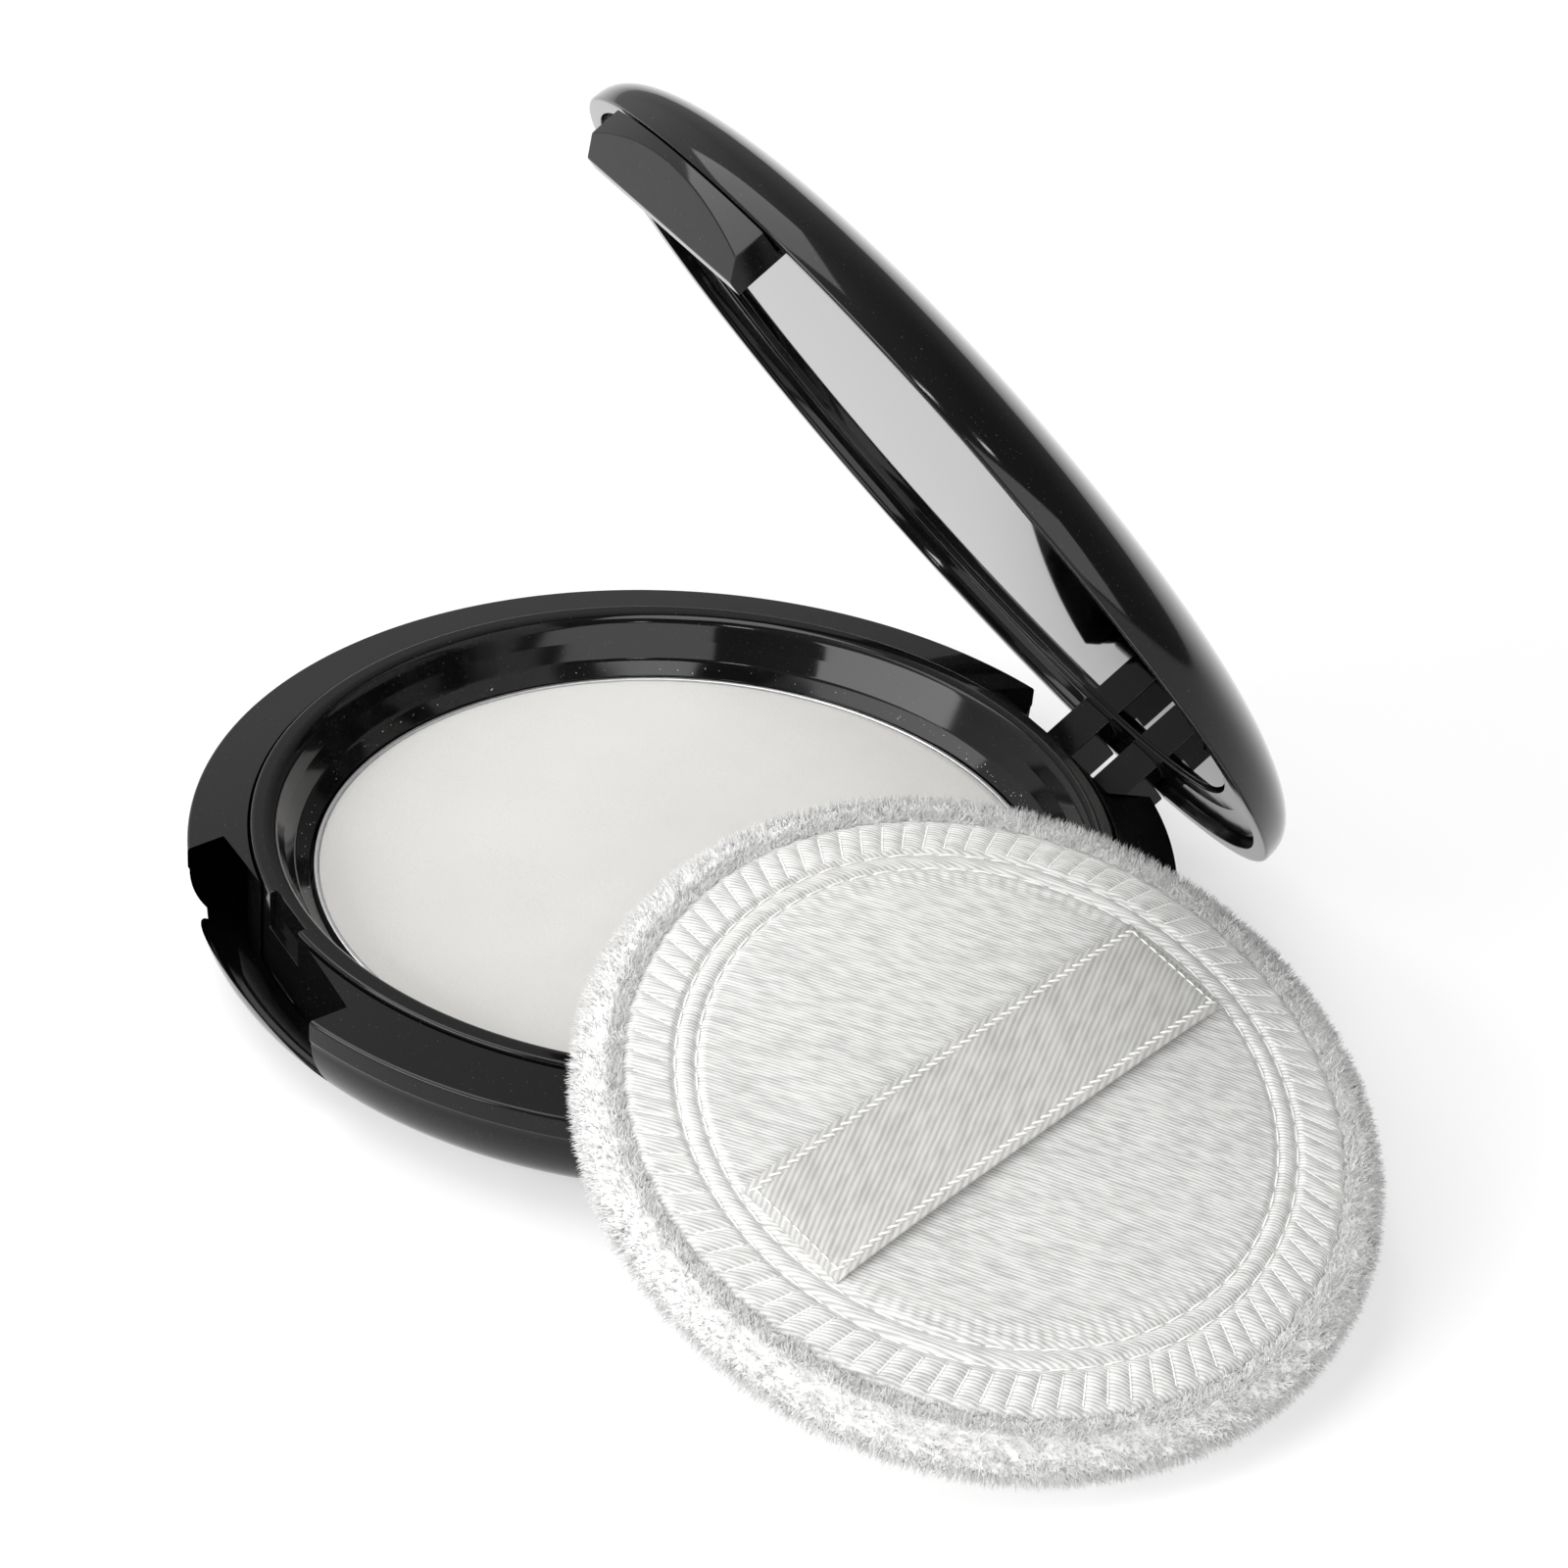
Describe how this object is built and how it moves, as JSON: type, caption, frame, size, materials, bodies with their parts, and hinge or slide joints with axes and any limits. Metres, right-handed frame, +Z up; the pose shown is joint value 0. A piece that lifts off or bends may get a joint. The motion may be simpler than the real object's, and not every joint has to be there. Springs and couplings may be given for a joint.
{
  "type": "powder compact",
  "caption": "Round hinged powder compact with a domed mirror lid and front latch, open, with a round plush puff leaning on its rim.",
  "frame": {"origin": "middle of the base's flat underside", "axes": "+Z up, +Y from the front latch towards the hinge, +X towards the side that the puff leans on; the hinge turns about X"},
  "size_m": [0.1117, 0.0835, 0.0694],
  "materials": {
    "black_gloss": "polished black",
    "tape": "matte foam tape",
    "paper": "plain paper label",
    "pan_metal": "pressed aluminium",
    "powder": "pressed powder, matte",
    "pin_steel": "drawn wire",
    "mirror_glass": "silvered glass",
    "plush": "short pile",
    "foam": "open-cell foam",
    "satin": "satin twill",
    "thread": "sewing thread",
    "ribbon": "satin ribbon"
  },
  "bodies": {
    "base": {"base_shell": "black_gloss", "base_tray": "black_gloss", "base_label": "paper", "pan_tape": "tape", "powder_pan": "pan_metal", "pressed_powder": "powder"},
    "pin": {"hinge_pin": "pin_steel"},
    "lid": {"lid_shell": "black_gloss", "lid_frame": "black_gloss", "mirror": "mirror_glass", "mirror_tape": "tape"},
    "puff": {"puff_back": "plush", "puff_foam": "foam", "satin_cover": "satin", "seam_outer": "thread", "seam_inner": "thread", "ribbon": "ribbon"}
  },
  "joints": [
    {"name": "lid_close", "type": "hinge", "parent": "base", "child": "pin", "pos_m": [0, 0.037, 0.0042], "axis": [-1, 0, 0], "range_deg": [-53, 0]},
    {"name": "lid_open", "type": "hinge", "parent": "pin", "child": "lid", "pos_m": [0, 0.037, 0.0042], "axis": [-1, 0, 0], "range_deg": [0, 52]},
    {"name": "puff_carry", "type": "hinge", "parent": "pin", "child": "puff", "pos_m": [0.05136, 0.05261, 0.05709], "axis": [-0.9184, -0.1777, 0.3536], "range_deg": [0, 55.92]}
  ],
  "couplings": [
    {"joint": "puff_carry", "follows": "lid_close", "ratio": -1.0541}
  ]
}
